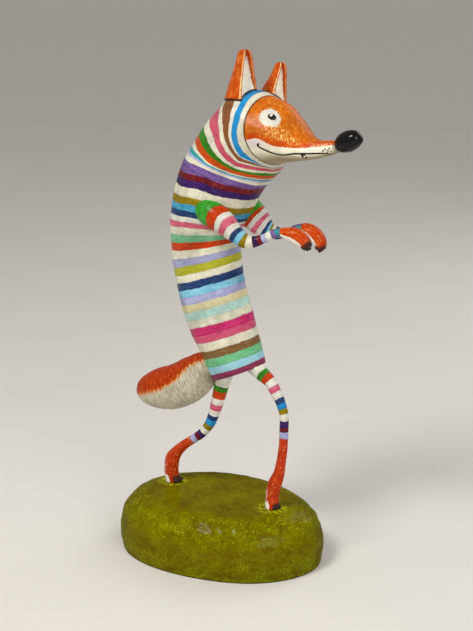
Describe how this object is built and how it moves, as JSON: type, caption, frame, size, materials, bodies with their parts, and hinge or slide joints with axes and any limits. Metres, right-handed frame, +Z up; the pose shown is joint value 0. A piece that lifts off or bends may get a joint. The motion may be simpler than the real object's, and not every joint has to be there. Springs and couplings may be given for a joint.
{
  "type": "papier-mache fox figure",
  "caption": "Papier-mache folk-art fox in a painted striped hooded jumper, walking upright on wire legs across an oval mossy mound.",
  "frame": {"origin": "middle of the mound's flat underside, on the surface it stands on", "axes": "+Z up through the fox's head; the fox walks towards -Y, and its right side is -X"},
  "size_m": [0.124, 0.2106, 0.401],
  "materials": {
    "board": "matte",
    "newspaper": "matte",
    "moss_paint": "satin",
    "wire": "satin",
    "striped_leg": "gloss",
    "orange_foot": "gloss",
    "dark_claw": "gloss",
    "card": "matte",
    "striped_jumper": "gloss",
    "striped_sleeve": "gloss",
    "orange_paw": "gloss",
    "tail_fur": "gloss",
    "striped_hood": "gloss",
    "orange_face": "gloss",
    "black_nose": "gloss",
    "black_bead": "gloss",
    "white_clay": "satin",
    "orange_ear": "gloss",
    "dowel": "matte"
  },
  "bodies": {
    "root": {"base_board": "board", "mound_core": "newspaper", "mound_skin": "moss_paint", "right_leg_wire": "wire", "left_leg_wire": "wire", "right_leg": "striped_leg", "left_leg": "striped_leg", "right_foot": "orange_foot", "left_foot": "orange_foot", "right_foot_claws": "dark_claw", "left_foot_claws": "dark_claw", "hem_disc": "card", "torso_roll": "newspaper", "jumper": "striped_jumper", "neck_wire": "wire", "right_arm_wire": "wire", "left_arm_wire": "wire", "right_sleeve": "striped_sleeve", "left_sleeve": "striped_sleeve", "right_paw": "orange_paw", "left_paw": "orange_paw", "right_paw_claws": "dark_claw", "left_paw_claws": "dark_claw", "tail_wire": "wire", "tail_core": "newspaper", "tail_skin": "tail_fur", "head_core": "newspaper", "hood": "striped_hood", "face": "orange_face", "nose": "black_nose", "right_eye": "black_bead", "left_eye": "black_bead", "tooth": "white_clay", "right_ear": "orange_ear", "left_ear": "orange_ear", "right_ear_peg": "dowel", "left_ear_peg": "dowel"}
  },
  "joints": []
}
